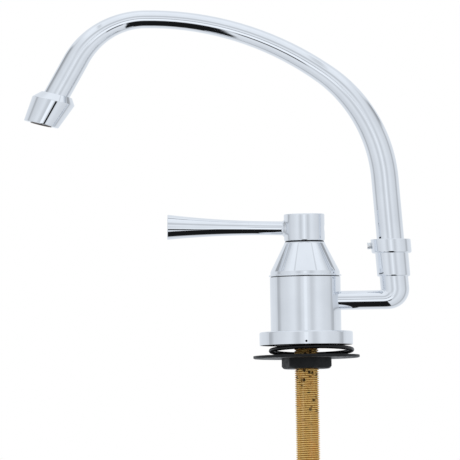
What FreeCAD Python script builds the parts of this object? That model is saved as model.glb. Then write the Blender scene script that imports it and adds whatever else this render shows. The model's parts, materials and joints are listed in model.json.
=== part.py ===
import FreeCAD, Part
import math
import os

from FreeCAD import Placement, Rotation, Vector

# A point-of-use faucet in millimetres. The origin is on the body's axis, on the underside of the base flange,
# where the deck is. +Z is up, the lever points to -X, the arm leaves the body to +X and -Y is the front.
# Headings are degrees in the X-Z plane, from +X towards +Z.

# Fits
seat_clearance = 0.02
running_clearance = 0.05
turning_gap = 0.15
water_film = 0.02
cut_overshoot = 1.0

# Base flange
flange_radius = 22.9
flange_height = 6.5
flange_edge = 0.8
flange_groove_inner = 15.5
flange_groove_outer = 21.6
flange_groove_depth = 2.2
weep_hole_radius = 0.55
weep_hole_height = 1.3

# Body
body_radius = 17.3
body_height = 26.7
body_foot_radius = 12.0
body_foot_depth = 3.0
body_neck_radius = 14.5
body_neck_height = 4.0
chamber_radius = 10.0
chamber_floor = 15.0
inlet_port_radius = 3.0

# Threaded shank
shank_radius = 5.556
shank_reach = 63.5
shank_entry = 11.0
shank_bore_radius = 2.6
thread_pitch = 1.058
thread_depth = 0.6
thread_crest = 0.3
thread_lead = 0.6
inlet_radius = 3.25
inlet_depth = 12.0
shank_gasket_height = 1.0

# Valve cartridge
seat_gasket_height = 2.0
seat_gasket_hole = 6.0
disc_height = 3.0
fixed_disc_radius = 8.5
rotating_disc_radius = 7.6
disc_port_radius = 2.0
disc_port_offset = 4.2
driver_radius = 7.2
driver_height = 2.6
drive_slot_width = 3.0
drive_slot_depth = 1.2
driver_headroom = 0.2
housing_wall = 1.35
housing_flange_radius = 13.0
housing_flange_height = 2.0
housing_neck_radius = 6.3
housing_neck_height = 6.8
housing_window_radius = 2.6
spindle_radius = 4.0
spindle_drive_radius = 3.5
spindle_drive_flat = 0.9
spindle_grip = 9.6
clip_height = 0.8
clip_radius = 5.4
clip_groove_depth = 0.7
clip_mouth = 3.0
cartridge_cord = 1.5
cartridge_ring_rise = 15.0
spindle_cord = 1.2
spindle_ring_heights = (31.0, 35.0)

# Bonnet and its gasket
bonnet_gasket_radius = 16.8
bonnet_gasket_height = 0.4
bonnet_lip_radius = 17.8
bonnet_lip_height = 0.7
bonnet_band_radius = 17.0
bonnet_band_height = 1.6
bonnet_cone_height = 13.9
bonnet_neck_radius = 9.97
bonnet_neck_height = 0.6
bonnet_neck_edge = 0.3
bonnet_hole_gap = 0.3
glide_ring_radius = 9.5

# Handle
hub_gap = 0.6
hub_radius = 9.97
hub_height = 13.2
hub_edge = 0.6
lever_rise = 6.1
lever_reach = 67.1
lever_lean = 1.5
lever_neck_radius = 3.4
lever_neck_length = 8.0
lever_tip_radius = 6.15
lever_seat_depth = 1.2
lever_stud_radius = 2.0
lever_stud_length = 4.2
grub_radius = 2.0
grub_inset = 0.8
grub_socket = 2.0
grub_socket_depth = 2.2

# Arm and tube, which are round where they stand upright and flattened where they run level
tube_width = 13.4
tube_level = 8.7
tube_wall = 1.0
arm_width = 14.0
arm_level = 9.3
arm_height = 21.55
arm_wall = 1.3
arm_tail_radius = 4.2
arm_tail_length = 5.0
arm_tail_bore = 2.2
arm_cord = 1.1
elbow_inner_radius = 0.6
leg_offset = 44.3
leg_lean = 4.2
leg_length = 15.0
bend_step = 6.0
oval_points = 48
oval_softness = 0.25

# Swivel, in lengths along the leg from the arm's level
socket_radius = 8.1
socket_start = 11.35
socket_length = 11.4
socket_edge = 0.8
socket_neck_radius = 7.2
socket_neck_length = 2.7
spigot_radius = 5.75
spigot_bore = 3.5
spigot_gap = 0.4
spigot_flange_radius = 7.1
spigot_flange_height = 2.4
spigot_stub = 6.0
spigot_cord = 1.5
spigot_ring_rises = (2.2, 6.2)
bearing_height = 0.6
collar_radius = 9.8
collar_lip = 1.0
collar_top_edge = 0.4
collar_foot_edge = 1.0
screw_head_radius = 1.6
screw_head_height = 1.8
screw_shank_radius = 1.1
screw_tip_radius = 0.5
screw_tip_reach = 0.8
screw_groove_depth = 1.1
screw_groove_width = 1.6
screw_slot_width = 0.5
screw_slot_depth = 0.6

# Spout: a straight rise on the leg's line, three bends that run into each other, and a straight end
spout_rise = 30.05
rising_bend_radius = 70.1
rising_bend_turn = 50.0
crown_bend_radius = 149.4
crown_bend_turn = 35.9
falling_bend_radius = 39.1
falling_bend_turn = 59.8
spout_end = 19.35

# Nozzle: a double cone on the tube's end, cranked so that its mouth faces nearly straight down
nozzle_lean = 29.0
mouth_lean = 14.5
nozzle_top_radius = 7.65
nozzle_shoulder_radius = 10.6
nozzle_mouth_radius = 8.65
nozzle_shoulder_drop = 3.5
nozzle_length = 16.5
nozzle_socket_depth = 3.0
nozzle_passage_radius = 3.6
aerator_radius = 5.3
aerator_depth = 6.4
aerator_proud = 0.3
aerator_height = 5.2
aerator_wall = 0.9
aerator_hole_radius = 0.7
aerator_hole_circle = 2.6
aerator_hole_count = 6
screen_height = 0.5
screen_pitch = 1.3
screen_bar = 0.5
aerator_washer_width = 1.6

# Under-deck clamp
base_ring_cord = 2.1
base_ring_radius = 19.9
base_ring_shift = 2.5
base_ring_top_gap = 0.25
base_ring_low_gap = 0.5
washer_drop = 4.5
washer_radius = 26.1
washer_height = 2.0
washer_chamfer = 0.6
washer_hole_gap = 0.6
nut_across_flats = 22.0
nut_height = 5.2
nut_turn = 11.0
nut_chamfer = 1.2

# Heights that follow from the sizes above
seam_height = flange_height + body_height
body_top = seam_height + body_neck_height
disc_floor = chamber_floor + seat_gasket_height
disc_joint = disc_floor + disc_height + water_film
driver_floor = disc_joint + disc_height
driver_top = driver_floor + driver_height
housing_ceiling = driver_top + driver_headroom
housing_radius = chamber_radius - running_clearance
housing_cavity_radius = housing_radius - housing_wall
housing_shoulder = body_top + housing_flange_height
housing_top = housing_shoulder + housing_neck_height
clip_floor = housing_top + turning_gap
bonnet_floor = seam_height + bonnet_gasket_height
bonnet_shoulder = bonnet_floor + bonnet_lip_height + bonnet_band_height
bonnet_top = bonnet_shoulder + bonnet_cone_height + bonnet_neck_height
hub_floor = bonnet_top + hub_gap
lever_height = hub_floor + lever_rise
spindle_top = hub_floor + spindle_grip

# Places along the leg that follow from the sizes above
leg_heading = 90.0 + leg_lean
socket_shoulder = socket_start + socket_length
socket_top = socket_shoulder + socket_neck_length
bearing_top = socket_top + bearing_height
spigot_flange_floor = bearing_top + running_clearance
spigot_flange_top = spigot_flange_floor + spigot_flange_height
collar_lip_floor = spigot_flange_top + turning_gap
collar_top = collar_lip_floor + collar_lip
collar_bore = socket_neck_radius + running_clearance
screw_place = spigot_flange_floor + spigot_flange_height / 2


def rod(radius, low, high):
    """A plain cylinder about Z between two heights."""
    return Part.makeCylinder(radius, high - low, Vector(0, 0, low))


def ring(outer, inner, low, high):
    """A plain ring about Z between two heights."""
    return rod(outer, low, high).cut(rod(inner, low, high))


def turned(outline):
    """A solid of revolution about Z from (radius, height) corners."""
    corners = [Vector(radius, 0, height) for radius, height in outline]
    return Part.Face(Part.makePolygon(corners + corners[:1])).revolve(Vector(), Vector(0, 0, 1), 360)


def o_ring(outer, cord, height):
    """A rubber ring about Z with the given outer radius."""
    return Part.makeTorus(outer - cord / 2, cord / 2, Vector(0, 0, height))


def groove(outer, cord, height):
    """The square groove in a shaft that holds an O-ring."""
    depth = cord + seat_clearance
    return ring(outer + cut_overshoot, outer - depth, height - depth / 2, height + depth / 2)


def rim(shape, radius, height):
    """The circular edges of a turned shape at one radius and height."""
    return [
        edge
        for edge in shape.Edges
        if isinstance(edge.Curve, Part.Circle)
        and abs(edge.Curve.Radius - radius) < 1e-6
        and abs(edge.Curve.Center.z - height) < 1e-6
    ]


def side_rod(radius, start, end, height):
    """A cylinder along X between two distances from the body's axis."""
    return Part.makeCylinder(radius, abs(end - start), Vector(start, 0, height), Vector(end - start, 0, 0))


def forward(heading):
    """The unit vector along a heading."""
    angle = math.radians(heading)
    return Vector(math.cos(angle), 0, math.sin(angle))


def left(heading):
    """The unit vector to the left of a heading, towards the inside of the spout's bends."""
    return forward(heading + 90)


spout_size = (tube_width, tube_level)
arm_size = (arm_width, arm_level)


def thickness(heading, size):
    """A tube's thickness in the plane of its bends: full where it stands upright, flattened where level."""
    width, level = size
    run = forward(heading)
    return math.hypot(width * run.z, level * run.x)


def oval(place, heading, size, inset=0.0):
    """A tube's flat oval across a heading, drawn in by an inset: round in front and behind, flat between."""
    width, _ = size
    half = thickness(heading, size) / 2 - inset
    spread = width / 2 - inset - half
    shares = [number / oval_points for number in range(oval_points + 1)]
    points = []
    for share in shares[:-1]:
        angle = 2 * math.pi * share
        depth = half * math.sin(angle) + spread * math.tanh(math.sin(angle) / oval_softness)
        points.append(place + left(heading) * half * math.cos(angle) - Vector(0, depth, 0))
    curve = Part.BSplineCurve()
    curve.interpolate(Points=points, PeriodicFlag=True, Parameters=shares)
    return Part.Wire(curve.toShape())


def straight(place, heading, length, size, inset=0.0):
    """A straight run of a tube, filled."""
    return Part.Face(oval(place, heading, size, inset)).extrude(forward(heading) * length)


def bent(stations, size, inset=0.0):
    """A bent run of a tube through (place, heading) stations, filled."""
    return Part.makeLoft([oval(place, heading, size, inset) for place, heading in stations], True, False)


def joined(solids):
    """One solid from runs that meet end to end."""
    return solids[0].fuse(solids[1:]).removeSplitter()


leg_foot = Vector(leg_offset, 0, arm_height)
leg_frame = Placement(leg_foot, Rotation(Vector(0, 1, 0), -leg_lean))


def on_leg(shape):
    """A shape drawn about Z, set on the leaning leg."""
    shape.Placement = leg_frame
    return shape


def level_rod(radius, low, high):
    """A cylinder about the leg's axis between two places, with ends that lie level on the leaning leg."""
    size = 4 * radius
    height = (high - low) * math.cos(math.radians(leg_lean))
    slab = Part.makeBox(size, size, height, Vector(-size / 2, -size / 2, 0))
    slab.Placement = Placement(Vector(0, 0, low), Rotation(Vector(0, 1, 0), leg_lean))
    return rod(radius, low - radius, high + radius).common(slab)


def end_edges(shape, place):
    """The closed edges of a level rod at one of its ends."""
    return [edge for edge in shape.Edges if edge.isClosed() and abs(edge.CenterOfMass.z - place) < 1e-3]


def along_leg(distance):
    """A point on the leg's axis."""
    return leg_foot + forward(leg_heading) * distance


def make_flange():
    plate = rod(flange_radius, 0, flange_height)
    plate = plate.makeFillet(flange_edge, rim(plate, flange_radius, flange_height))
    recess = rod(body_foot_radius + seat_clearance, flange_height - body_foot_depth, flange_height)
    hole = rod(shank_radius + turning_gap, 0, flange_height)
    seal_groove = ring(flange_groove_outer, flange_groove_inner, 0, flange_groove_depth)
    weep = Part.makeCylinder(
        weep_hole_radius,
        flange_radius - flange_groove_inner,
        Vector(0, -flange_radius, weep_hole_height),
        Vector(0, 1, 0),
    )
    return plate.cut([recess, hole, seal_groove, weep])


def make_body():
    foot = rod(body_foot_radius, flange_height - body_foot_depth, flange_height)
    barrel = rod(body_radius, flange_height, seam_height)
    neck = rod(body_neck_radius, seam_height, body_top)
    gasket_top = shank_entry + shank_gasket_height
    thread = rod(shank_radius + seat_clearance, flange_height - body_foot_depth, gasket_top)
    port = rod(inlet_port_radius, gasket_top, chamber_floor)
    chamber = rod(chamber_radius, chamber_floor, body_top)
    tail_floor = body_radius - arm_tail_length
    arm_socket = side_rod(arm_tail_radius + seat_clearance, tail_floor, body_radius, arm_height)
    outlet = side_rod(arm_tail_bore, 0, tail_floor, arm_height)
    return joined([foot, barrel, neck]).cut([thread, port, chamber, arm_socket, outlet])


def thread_corners(low, high):
    """The outline of the shank's thread between two heights, drawn as rings one pitch apart."""
    root_radius = shank_radius - thread_depth
    flank = (thread_pitch - thread_crest) / 2
    count = math.floor((high - low) / thread_pitch)
    corners = [(root_radius, low)]
    for number in range(count):
        crest_low = low + thread_pitch * number + flank
        crest_high = crest_low + thread_crest
        corners += [(shank_radius, crest_low), (shank_radius, crest_high), (root_radius, crest_high + flank)]
    return corners


def make_shank():
    root_radius = shank_radius - thread_depth
    outline = (
        (0, -shank_reach),
        (root_radius, -shank_reach),
        *thread_corners(-shank_reach + thread_lead, shank_entry - thread_lead),
        (root_radius, shank_entry),
        (0, shank_entry),
    )
    bore = rod(shank_bore_radius, -shank_reach, shank_entry)
    inlet = rod(inlet_radius, -shank_reach, -shank_reach + inlet_depth)
    return turned(outline).cut([bore, inlet])


def make_shank_gasket():
    top = shank_entry + shank_gasket_height
    return ring(shank_radius - seat_clearance, inlet_port_radius, shank_entry, top)


def make_seat_gasket():
    return ring(chamber_radius - running_clearance, seat_gasket_hole, chamber_floor, disc_floor)


def disc_port(heading, low, high):
    """The off-centre water port of a valve disc."""
    port = rod(disc_port_radius, low, high)
    port.translate(Rotation(Vector(0, 0, 1), heading).multVec(Vector(disc_port_offset, 0, 0)))
    return port


def drive_bar(width, low, high):
    """The bar across the axis that couples the spindle to the rotating disc."""
    length = 2 * housing_radius
    return Part.makeBox(width, length, high - low, Vector(-width / 2, -length / 2, low))


def make_fixed_disc():
    top = disc_floor + disc_height
    return rod(fixed_disc_radius, disc_floor, top).cut(disc_port(0, disc_floor, top))


def make_rotating_disc():
    disc = rod(rotating_disc_radius, disc_joint, driver_floor)
    slot = drive_bar(drive_slot_width, driver_floor - drive_slot_depth, driver_floor)
    return disc.cut([disc_port(-90, disc_joint, driver_floor), slot])


def make_spindle():
    tongue_floor = driver_floor - drive_slot_depth + seat_clearance
    tongue_width = drive_slot_width - 2 * seat_clearance
    driver = rod(driver_radius, driver_floor, driver_top)
    tongue = drive_bar(tongue_width, tongue_floor, driver_floor)
    tongue = tongue.common(rod(driver_radius, tongue_floor, driver_floor))
    clip_top = clip_floor + clip_height
    shaft = rod(spindle_radius, driver_top, clip_top + clip_height)
    drive = rod(spindle_drive_radius, clip_top + clip_height, spindle_top)
    spindle = joined([driver, tongue, shaft, drive])
    flat_low = spindle_drive_radius - spindle_drive_flat
    flat = Part.makeBox(
        spindle_drive_flat,
        2 * spindle_drive_radius,
        spindle_grip,
        Vector(flat_low, -spindle_drive_radius, spindle_top - spindle_grip),
    )
    groove_floor = spindle_radius - clip_groove_depth
    clip_groove = ring(spindle_radius + cut_overshoot, groove_floor, clip_floor, clip_top)
    ring_grooves = [groove(spindle_radius, spindle_cord, height) for height in spindle_ring_heights]
    return spindle.cut([flat, clip_groove, *ring_grooves])


def make_spindle_o_rings():
    rings = [o_ring(spindle_radius, spindle_cord, height) for height in spindle_ring_heights]
    return Part.makeCompound(rings)


def make_spindle_clip():
    inner = spindle_radius - clip_groove_depth + seat_clearance
    top = clip_floor + clip_height - seat_clearance
    clip = ring(clip_radius, inner, clip_floor + seat_clearance, top)
    mouth = Part.makeBox(2 * clip_radius, clip_mouth, clip_height, Vector(0, -clip_mouth / 2, clip_floor))
    return clip.cut(mouth)


def make_cartridge_housing():
    barrel = rod(housing_radius, disc_floor, body_top)
    flange = rod(housing_flange_radius, body_top, housing_shoulder)
    neck = rod(housing_neck_radius, housing_shoulder, housing_top)
    cavity = rod(housing_cavity_radius, disc_floor, housing_ceiling)
    bore = rod(spindle_radius + running_clearance, housing_ceiling, housing_top)
    window = side_rod(housing_window_radius, 0, housing_radius + cut_overshoot, arm_height)
    ring_groove = groove(housing_radius, cartridge_cord, chamber_floor + cartridge_ring_rise)
    return joined([barrel, flange, neck]).cut([cavity, bore, window, ring_groove])


def make_cartridge_o_ring():
    return o_ring(housing_radius, cartridge_cord, chamber_floor + cartridge_ring_rise)


def make_bonnet_gasket():
    return ring(bonnet_gasket_radius, body_neck_radius + seat_clearance, seam_height, bonnet_floor)


def make_bonnet():
    cone_top = bonnet_shoulder + bonnet_cone_height
    lip_top = bonnet_floor + bonnet_lip_height
    outline = (
        (0, bonnet_floor),
        (bonnet_lip_radius, bonnet_floor),
        (bonnet_lip_radius, lip_top),
        (bonnet_band_radius, lip_top),
        (bonnet_band_radius, bonnet_shoulder),
        (bonnet_neck_radius, cone_top),
        (bonnet_neck_radius, bonnet_top),
        (0, bonnet_top),
    )
    shell = turned(outline)
    shell = shell.makeFillet(bonnet_neck_edge, rim(shell, bonnet_neck_radius, bonnet_top))
    thread = rod(body_neck_radius + seat_clearance, bonnet_floor, body_top)
    flange_seat = rod(housing_flange_radius + seat_clearance, body_top, housing_shoulder)
    hole = rod(housing_neck_radius + bonnet_hole_gap, housing_shoulder, bonnet_top)
    return shell.cut([thread, flange_seat, hole])


def make_glide_ring():
    inner = housing_neck_radius + bonnet_hole_gap
    return ring(glide_ring_radius, inner, bonnet_top, hub_floor - turning_gap)


def on_lever(shape):
    """A shape drawn about Z with the hub's axis at Z = 0, set on the lever's line."""
    shape.Placement = Placement(Vector(0, 0, lever_height), Rotation(Vector(0, 1, 0), lever_lean - 90))
    return shape


def make_hub():
    top = hub_floor + hub_height
    hub = rod(hub_radius, hub_floor, top)
    hub = hub.makeFillet(hub_edge, rim(hub, hub_radius, top) + rim(hub, hub_radius, hub_floor))
    bore = rod(spindle_drive_radius + seat_clearance, hub_floor, spindle_top + turning_gap)
    outside = hub_radius + cut_overshoot
    seat = on_lever(rod(lever_neck_radius + seat_clearance, hub_radius - lever_seat_depth, outside))
    stud_hole = on_lever(rod(lever_stud_radius + seat_clearance, 0, outside))
    grub_hole = side_rod(grub_radius + seat_clearance, 0, hub_radius, lever_height)
    return hub.cut([bore, seat, stud_hole, grub_hole])


def make_lever():
    """A round lever whose straight neck runs on into an arc that flares to a flat end."""
    inner = hub_radius - lever_seat_depth
    arc_start = inner + lever_neck_length
    arc_length = lever_reach - arc_start
    flare = lever_tip_radius - lever_neck_radius
    arc_radius = (arc_length**2 + flare**2) / (2 * flare)
    half = math.asin(arc_length / arc_radius) / 2
    middle_radius = lever_neck_radius + arc_radius * (1 - math.cos(half))
    foot = Vector(0, 0, inner)
    neck = Vector(lever_neck_radius, 0, inner)
    start = Vector(lever_neck_radius, 0, arc_start)
    middle = Vector(middle_radius, 0, arc_start + arc_radius * math.sin(half))
    tip = Vector(lever_tip_radius, 0, lever_reach)
    end = Vector(0, 0, lever_reach)
    outline = [
        Part.makeLine(foot, neck),
        Part.makeLine(neck, start),
        Part.Arc(start, middle, tip).toShape(),
        Part.makeLine(tip, end),
        Part.makeLine(end, foot),
    ]
    grip = Part.Face(Part.Wire(outline)).revolve(Vector(), Vector(0, 0, 1), 360)
    stud = rod(lever_stud_radius, inner - lever_stud_length, inner)
    return on_lever(joined([grip, stud]))


def make_grub_screw():
    start = spindle_drive_radius - spindle_drive_flat
    end = hub_radius - grub_inset
    socket = hexagon(grub_socket, grub_socket_depth, 0)
    socket_floor = Vector(end - grub_socket_depth, 0, lever_height)
    socket.Placement = Placement(socket_floor, Rotation(Vector(0, 1, 0), 90))
    return side_rod(grub_radius, start, end, lever_height).cut(socket)


def hexagon_corner(across_flats):
    """The distance of a hexagon's corners from its middle."""
    return across_flats / 2 / math.cos(math.pi / 6)


def hexagon(across_flats, height, turn):
    """A hexagonal prism that stands on Z = 0, with a flat facing the front before it is turned."""
    corner = hexagon_corner(across_flats)
    spin = Rotation(Vector(0, 0, 1), turn)
    corners = [spin.multVec(forward_level(60 * number) * corner) for number in range(7)]
    return Part.Face(Part.makePolygon(corners)).extrude(Vector(0, 0, height))


def forward_level(heading):
    """The unit vector along a heading in the X-Y plane."""
    angle = math.radians(heading)
    return Vector(math.cos(angle), math.sin(angle), 0)


def elbow_stations():
    """The elbow's sections, which fan out about the line of its inner corner."""
    tall = thickness(leg_heading, arm_size) / 2 + elbow_inner_radius
    flat = thickness(0, arm_size) / 2 + elbow_inner_radius
    lean = math.radians(leg_lean)
    rise = (flat + tall * math.sin(lean)) / math.cos(lean)
    corner = along_leg(rise) + left(leg_heading) * tall
    count = math.ceil(leg_heading / bend_step)
    headings = [leg_heading * number / count for number in range(count + 1)]
    return [
        (corner - left(heading) * (thickness(heading, arm_size) / 2 + elbow_inner_radius), heading)
        for heading in headings
    ], rise


def arm_runs(start, inset):
    """The arm, its elbow and its leg as one filled solid."""
    stations, rise = elbow_stations()
    level_length = stations[0][0].x - start
    return joined(
        [
            straight(Vector(start, 0, arm_height), 0, level_length, arm_size, inset),
            bent(stations, arm_size, inset),
            straight(along_leg(rise), leg_heading, leg_length - rise, arm_size, inset),
        ]
    )


def make_elbow_arm():
    inside_body = body_radius - arm_width / 2
    arm = arm_runs(inside_body, 0).cut(rod(body_radius + seat_clearance, 0, seam_height))
    tail_end = body_radius - arm_tail_length
    neck_end = body_radius + arm_wall
    tail = side_rod(arm_tail_radius, tail_end, neck_end, arm_height)
    bore = side_rod(arm_tail_bore, tail_end, neck_end, arm_height)
    seal_groove = on_tail(groove(arm_tail_radius, arm_cord, 0))
    return joined([arm, tail]).cut([arm_runs(neck_end, arm_wall), bore, seal_groove])


def on_tail(shape):
    """A shape drawn about Z, set on the arm's tail inside the body."""
    middle = Vector(body_radius - arm_tail_length / 2, 0, arm_height)
    shape.Placement = Placement(middle, Rotation(Vector(0, 1, 0), 90))
    return shape


def make_arm_o_ring():
    return on_tail(o_ring(arm_tail_radius, arm_cord, 0))


def make_socket():
    sleeve = level_rod(socket_radius, socket_start, socket_shoulder)
    sleeve = sleeve.makeFillet(socket_edge, end_edges(sleeve, socket_start))
    neck = rod(socket_neck_radius, leg_length, socket_top)
    tube_bore = rod(arm_width / 2 + seat_clearance, 0, leg_length)
    bore = rod(spigot_radius + running_clearance, leg_length, socket_top)
    return on_leg(joined([sleeve, neck]).cut([tube_bore, bore]))


def make_bearing():
    return on_leg(ring(socket_neck_radius, spigot_radius + turning_gap, socket_top, bearing_top))


def make_collar():
    collar = level_rod(collar_radius, socket_shoulder, collar_top)
    collar = collar.makeFillet(collar_top_edge, end_edges(collar, collar_top))
    collar = collar.makeFillet(collar_foot_edge, end_edges(collar, socket_shoulder))
    bore = rod(collar_bore, socket_start, collar_lip_floor)
    lip = rod(tube_width / 2 + turning_gap, collar_lip_floor, collar_top + collar_radius)
    screw_hole = side_rod(screw_shank_radius + seat_clearance, 0, -collar_radius, screw_place)
    return on_leg(collar.cut([bore, lip, screw_hole]))


def make_collar_screw():
    head_end = collar_radius + screw_head_height
    head = side_rod(screw_head_radius, -collar_radius, -head_end, screw_place)
    shank = side_rod(screw_shank_radius, -collar_bore, -collar_radius, screw_place)
    tip = side_rod(screw_tip_radius, screw_tip_reach - collar_bore, -collar_bore, screw_place)
    slot = Part.makeBox(
        screw_slot_depth,
        2 * screw_head_radius,
        screw_slot_width,
        Vector(-head_end, -screw_head_radius, screw_place - screw_slot_width / 2),
    )
    return on_leg(joined([head, shank, tip]).cut(slot))


def make_spigot():
    start = leg_length + spigot_gap
    stub_radius = tube_width / 2 - tube_wall - seat_clearance
    end = spigot_flange_top + spigot_stub
    outline = (
        (spigot_bore, start),
        (spigot_radius, start),
        (spigot_radius, spigot_flange_floor),
        (spigot_flange_radius, spigot_flange_floor),
        (spigot_flange_radius, spigot_flange_top),
        (stub_radius, spigot_flange_top),
        (stub_radius, end),
        (spigot_bore, end),
    )
    half = screw_groove_width / 2
    groove_outer = spigot_flange_radius + cut_overshoot
    groove_floor = spigot_flange_radius - screw_groove_depth
    screw_groove = ring(groove_outer, groove_floor, screw_place - half, screw_place + half)
    grooves = [groove(spigot_radius, spigot_cord, start + rise) for rise in spigot_ring_rises]
    return on_leg(turned(outline).cut([screw_groove, *grooves]))


def make_spigot_o_rings():
    start = leg_length + spigot_gap
    rings = [o_ring(spigot_radius, spigot_cord, start + rise) for rise in spigot_ring_rises]
    return Part.makeCompound([on_leg(shape) for shape in rings])


def spout_stations():
    """The sections of the spout's bends, from the top of its rise to the start of its straight end."""
    bends = (
        (rising_bend_radius, rising_bend_turn),
        (crown_bend_radius, crown_bend_turn),
        (falling_bend_radius, falling_bend_turn),
    )
    place = along_leg(collar_top + spout_rise)
    heading = leg_heading
    stations = [(place, heading)]
    for radius, turn in bends:
        centre = place + left(heading) * radius
        count = math.ceil(turn / bend_step)
        for number in range(1, count + 1):
            angle = heading + turn * number / count
            stations.append((centre - left(angle) * radius, angle))
        place, heading = stations[-1]
    return stations


def spout_runs(inset):
    """The rise, the bends and the straight end of the spout as one filled solid."""
    stations = spout_stations()
    place, heading = stations[-1]
    rise = collar_top + spout_rise - spigot_flange_top
    return joined(
        [
            straight(along_leg(spigot_flange_top), leg_heading, rise, spout_size, inset),
            bent(stations, spout_size, inset),
            straight(place, heading, spout_end + nozzle_socket_depth, spout_size, inset),
        ]
    )


def make_spout_tube():
    return spout_runs(0).cut(spout_runs(tube_wall))


def nozzle_places():
    """The centre of the nozzle's top, its shoulder and its mouth, and the way its mouth faces."""
    place, heading = spout_stations()[-1]
    top = place + forward(heading) * spout_end
    axis = forward(270 - nozzle_lean)
    facing = forward(270 - mouth_lean)
    return top, top + axis * nozzle_shoulder_drop, top + axis * nozzle_length, facing


def at_mouth(shape):
    """A shape drawn about Z, with its foot on Z = 0, set in the nozzle's mouth and reaching into it."""
    *_, mouth, facing = nozzle_places()
    shape.Placement = Placement(mouth, Rotation(Vector(0, 0, -1), facing))
    return shape


def make_nozzle():
    top, shoulder, mouth, facing = nozzle_places()
    rims = ((top, nozzle_top_radius), (shoulder, nozzle_shoulder_radius), (mouth, nozzle_mouth_radius))
    circles = [Part.Wire(Part.Circle(place, facing, radius).toShape()) for place, radius in rims]
    cone = Part.makeLoft(circles, True, True)
    place, heading = spout_stations()[-1]
    socket = straight(place, heading, spout_end + nozzle_socket_depth, spout_size, -seat_clearance)
    pocket = at_mouth(rod(aerator_radius, 0, aerator_depth))
    start = place + forward(heading) * spout_end
    drop = mouth - start
    passage = Part.makeCylinder(nozzle_passage_radius, drop.Length - aerator_depth / 2, start, drop)
    return cone.cut([socket, pocket, passage])


def hole_circle(low, high):
    """The jets of the aerator: one in the middle and a ring around it."""
    jets = [rod(aerator_hole_radius, low, high)]
    for number in range(aerator_hole_count):
        jet = rod(aerator_hole_radius, low, high)
        jet.translate(forward_level(360 * number / aerator_hole_count) * aerator_hole_circle)
        jets.append(jet)
    return jets


def make_aerator_insert():
    radius = aerator_radius - seat_clearance
    top = aerator_height - aerator_proud
    plate = top - aerator_wall
    cup = rod(radius, -aerator_proud, top).cut(rod(radius - aerator_wall, -aerator_proud, plate))
    return at_mouth(cup.cut(hole_circle(plate, top)))


def make_aerator_screen():
    radius = aerator_radius - seat_clearance - aerator_wall - seat_clearance
    top = aerator_height - aerator_proud - aerator_wall
    low = top - screen_height
    disc = rod(radius, low, top)
    window = screen_pitch - screen_bar
    span = math.floor((radius - screen_bar) / screen_pitch)
    windows = []
    for row in range(-span, span + 1):
        for column in range(-span, span + 1):
            centre = Vector(row * screen_pitch, column * screen_pitch, 0)
            if centre.Length + window < radius - screen_bar / 2:
                corner = Vector(centre.x - window / 2, centre.y - window / 2, low)
                windows.append(Part.makeBox(window, window, screen_height, corner))
    return at_mouth(disc.cut(windows))


def make_aerator_washer():
    radius = aerator_radius - seat_clearance
    low = aerator_height - aerator_proud
    return at_mouth(ring(radius, radius - aerator_washer_width, low, aerator_depth))


def make_base_o_ring():
    """The loose seal between flange and washer, tilted with its front up against the flange."""
    spare = washer_drop - base_ring_cord - base_ring_top_gap - base_ring_low_gap
    tilt = math.degrees(math.asin(spare / (2 * base_ring_radius)))
    height = -base_ring_top_gap - (spare + base_ring_cord) / 2
    seal = Part.makeTorus(base_ring_radius, base_ring_cord / 2)
    seal.Placement = Placement(Vector(base_ring_shift, 0, height), Rotation(Vector(1, 0, 0), -tilt))
    return seal


def make_mounting_washer():
    low = -washer_drop - washer_height
    hole = shank_radius + washer_hole_gap
    outline = (
        (hole, low),
        (washer_radius - washer_chamfer, low),
        (washer_radius, low + washer_chamfer),
        (washer_radius, -washer_drop),
        (hole, -washer_drop),
    )
    return turned(outline)


def make_mounting_nut():
    top = -washer_drop - washer_height
    low = top - nut_height
    corner = hexagon_corner(nut_across_flats)
    prism = hexagon(nut_across_flats, nut_height, -nut_turn)
    prism.translate(Vector(0, 0, low))
    hole = shank_radius + running_clearance
    outline = (
        (hole, low),
        (corner - nut_chamfer, low),
        (corner, low + nut_chamfer),
        (corner, top),
        (hole, top),
    )
    return prism.common(turned(outline))


nodes = {
    "base_flange": make_flange,
    "body": make_body,
    "shank": make_shank,
    "shank_gasket": make_shank_gasket,
    "seat_gasket": make_seat_gasket,
    "fixed_disc": make_fixed_disc,
    "rotating_disc": make_rotating_disc,
    "spindle": make_spindle,
    "spindle_o_rings": make_spindle_o_rings,
    "spindle_clip": make_spindle_clip,
    "cartridge_housing": make_cartridge_housing,
    "cartridge_o_ring": make_cartridge_o_ring,
    "bonnet_gasket": make_bonnet_gasket,
    "bonnet": make_bonnet,
    "glide_ring": make_glide_ring,
    "handle_hub": make_hub,
    "lever": make_lever,
    "handle_grub_screw": make_grub_screw,
    "elbow_arm": make_elbow_arm,
    "arm_o_ring": make_arm_o_ring,
    "swivel_socket": make_socket,
    "swivel_bearing": make_bearing,
    "spout_collar": make_collar,
    "collar_screw": make_collar_screw,
    "spout_spigot": make_spigot,
    "spigot_o_rings": make_spigot_o_rings,
    "spout_tube": make_spout_tube,
    "nozzle": make_nozzle,
    "aerator_insert": make_aerator_insert,
    "aerator_screen": make_aerator_screen,
    "aerator_washer": make_aerator_washer,
    "base_o_ring": make_base_o_ring,
    "mounting_washer": make_mounting_washer,
    "mounting_nut": make_mounting_nut,
}

os.makedirs("parts", exist_ok=True)
for name, make in nodes.items():
    make().exportStep(f"parts/{name}.step")
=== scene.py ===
import json
import math

import bpy
from mathutils import Matrix, Quaternion, Vector


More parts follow.
